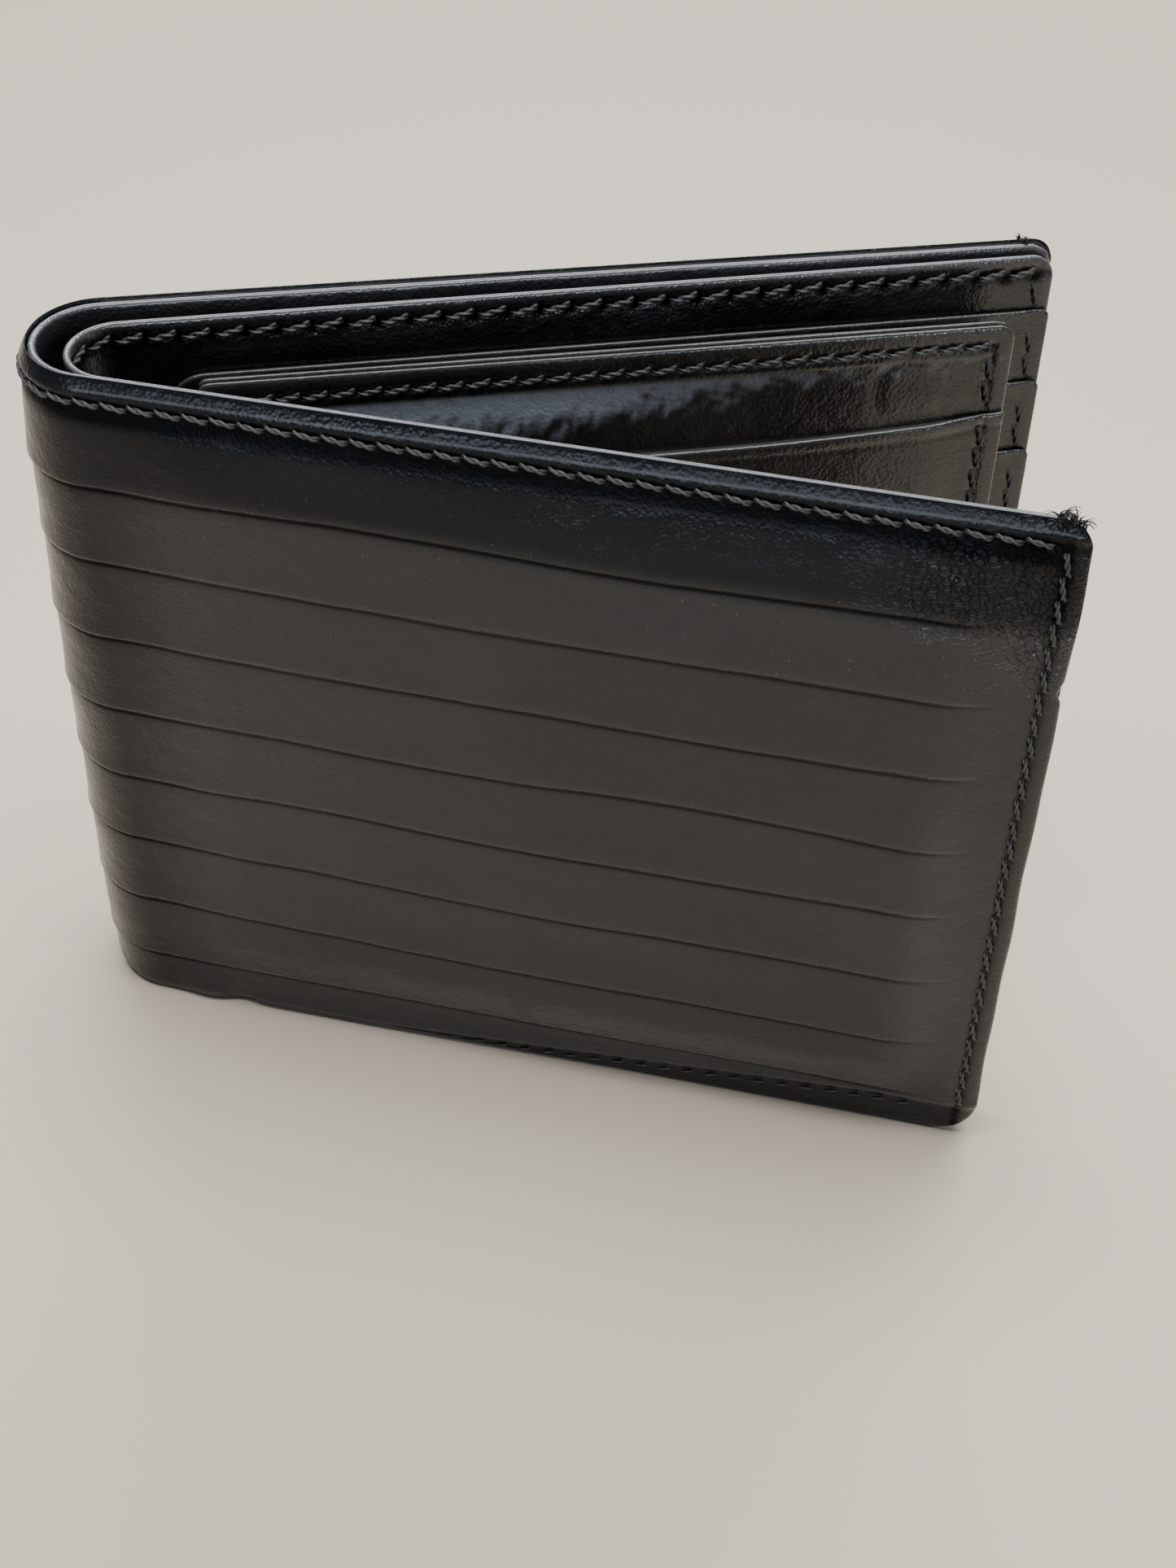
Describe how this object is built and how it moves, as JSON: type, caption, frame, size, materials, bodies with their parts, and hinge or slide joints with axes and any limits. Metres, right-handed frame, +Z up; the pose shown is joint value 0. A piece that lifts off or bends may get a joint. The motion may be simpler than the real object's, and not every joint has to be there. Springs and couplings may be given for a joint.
{
  "type": "leather billfold wallet",
  "caption": "Black polished leather billfold standing partly open, with a bill compartment, stepped card slots and an inner wing that turns on the fold side.",
  "frame": {"origin": "centre of the standing object's box, on the surface that it stands on", "axes": "+Z up, +X from the fold to the free edges, +Y from the front half to the back half"},
  "size_m": [0.1104, 0.0558, 0.09],
  "materials": {
    "polished_leather": "polished, with pressed crease lines and wear",
    "lining_leather": "smooth satin",
    "slot_leather": "smooth, worn to a gloss",
    "stiff_card": "matte bonded board",
    "pocket_fabric": "fine matte weave",
    "thread": "waxed twisted thread"
  },
  "bodies": {
    "back_half": {"cover_leather_back": "polished_leather", "cover_hem_back": "polished_leather", "cover_stiffener_back": "stiff_card", "cover_lining_back": "lining_leather", "cover_thread_back": "thread", "bill_wall_back": "lining_leather", "bill_thread_back": "thread", "pocket_fabric_back": "pocket_fabric", "card_slot_back_1": "slot_leather", "card_slot_back_2": "slot_leather", "card_slot_back_3": "slot_leather", "slot_thread_back": "thread", "wing_anchor_strip": "slot_leather"},
    "spine": {"cover_leather_spine": "polished_leather", "interlining_spine": "pocket_fabric", "cover_lining_spine": "lining_leather", "cover_thread_spine": "thread", "bill_wall_spine": "lining_leather", "bill_thread_spine": "thread"},
    "front_half": {"cover_leather_front": "polished_leather", "cover_hem_front": "polished_leather", "cover_stiffener_front": "stiff_card", "cover_lining_front": "lining_leather", "cover_thread_front": "thread", "bill_wall_front": "lining_leather", "bill_thread_front": "thread", "pocket_fabric_front": "pocket_fabric", "card_slot_front_1": "slot_leather", "card_slot_front_2": "slot_leather", "card_slot_front_3": "slot_leather", "slot_thread_front": "thread"},
    "wing": {"wing_hinge_strip": "slot_leather", "wing_back_leather": "slot_leather", "wing_card": "stiff_card", "wing_front_leather": "slot_leather", "wing_slot_panel": "slot_leather", "wing_thread": "thread"}
  },
  "joints": [
    {"name": "spine_back_hinge", "type": "hinge", "parent": "back_half", "child": "spine", "pos_m": [-0.05249, 0.00473, 0.045], "axis": [0, 0, -1], "range_deg": [-10.9, 79.1], "deforming": ["cover_leather_spine", "interlining_spine", "cover_lining_spine", "cover_thread_spine", "bill_wall_spine", "bill_thread_spine"]},
    {"name": "spine_front_hinge", "type": "hinge", "parent": "spine", "child": "front_half", "pos_m": [-0.05249, -0.00521, 0.045], "axis": [0, 0, -1], "range_deg": [-10.9, 79.1], "deforming": ["cover_leather_spine", "interlining_spine", "cover_lining_spine", "cover_thread_spine", "bill_wall_spine", "bill_thread_spine"]},
    {"name": "wing_hinge", "type": "hinge", "parent": "back_half", "child": "wing", "pos_m": [-0.03866, 0.00185, 0.043], "axis": [0, 0, -1], "range_deg": [-1.9, 13.5]}
  ],
  "couplings": [
    {"joint": "spine_front_hinge", "follows": "spine_back_hinge", "ratio": 1},
    {"joint": "wing_hinge", "follows": "spine_back_hinge", "ratio": 0.17}
  ]
}
